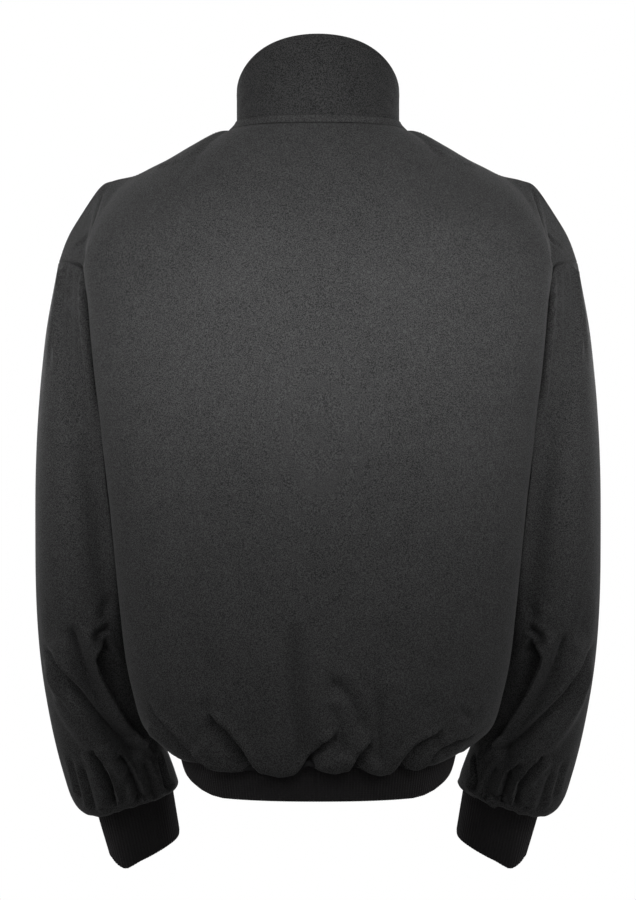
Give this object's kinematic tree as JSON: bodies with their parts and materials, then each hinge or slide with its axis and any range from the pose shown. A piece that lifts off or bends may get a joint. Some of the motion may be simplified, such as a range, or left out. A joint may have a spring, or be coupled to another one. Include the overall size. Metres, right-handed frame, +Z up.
{
  "type": "pilot jacket",
  "caption": "Waist-length pilot jacket in worn form with dropped shoulders, stand-up collar, zipped front, knitted waist rib and knitted cuffs",
  "frame": {"origin": "middle of the neck opening, level with the neck seam at the back", "axes": "+X towards the wearer's left, -Y towards the front, +Y towards the back, +Z up"},
  "size_m": [0.5712, 0.2941, 0.8372],
  "materials": {
    "twill": "fine charcoal polyester-cotton twill, slight sheen",
    "rib_knit": "near-black ribbed knit, matt",
    "zip_tape": "black woven zip tape with moulded teeth",
    "zip_metal": "dark nickel-plated die-cast zinc"
  },
  "bodies": {
    "jacket": {"back": "twill", "front_left": "twill", "front_right": "twill", "sleeve_left": "twill", "sleeve_right": "twill", "collar_band": "twill", "collar": "twill", "hem_rib": "rib_knit", "cuff_left": "rib_knit", "cuff_right": "rib_knit", "zip_tape_left": "zip_tape", "zip_tape_right": "zip_tape", "zip_slider": "zip_metal"},
    "pull_tab": {"zip_pull": "zip_metal"}
  },
  "joints": [
    {"name": "pull_tab_hinge", "type": "hinge", "parent": "jacket", "child": "pull_tab", "pos_m": [0, -0.08123, -0.04175], "axis": [-1, 0, 0], "range_deg": [0, 120]}
  ]
}
